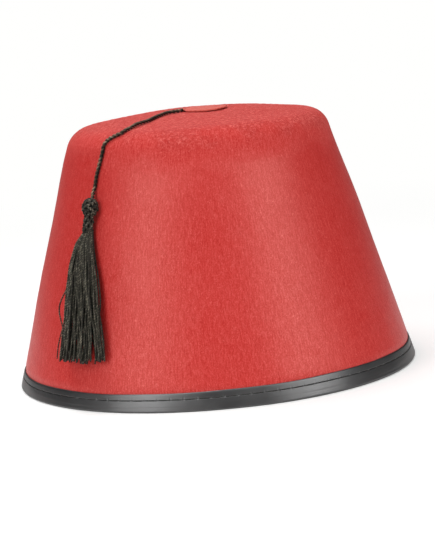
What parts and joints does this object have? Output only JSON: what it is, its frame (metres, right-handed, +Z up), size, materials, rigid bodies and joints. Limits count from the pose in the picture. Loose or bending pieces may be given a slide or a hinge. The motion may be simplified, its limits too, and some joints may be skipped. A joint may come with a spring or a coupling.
{
  "type": "fez hat",
  "caption": "Brimless red felt fez, a tapered crown with a domed top and bound rim, with a felt button and a tassel on a cord down its side.",
  "frame": {"origin": "centre of the rim, on the surface that the hat stands on", "axes": "+Z up through the middle of the top; the picture looks along +Y, so the tassel hangs at the front left, at -X and -Y"},
  "size_m": [0.1952, 0.1952, 0.1302],
  "materials": {
    "crown_felt": "matt pressed felt with short fibres, mottled red",
    "band": "black soft-gloss imitation leather, sewn through with black thread",
    "button_felt": "matt red felt, cut edge",
    "cord_yarn": "black twisted yarn with a slight lustre",
    "tassel_yarn": "black twisted rayon yarn with a grey-green lustre"
  },
  "bodies": {
    "root": {"crown": "crown_felt", "rim_binding": "band", "top_button": "button_felt", "tassel_cord": "cord_yarn", "tassel": "tassel_yarn"}
  },
  "joints": []
}
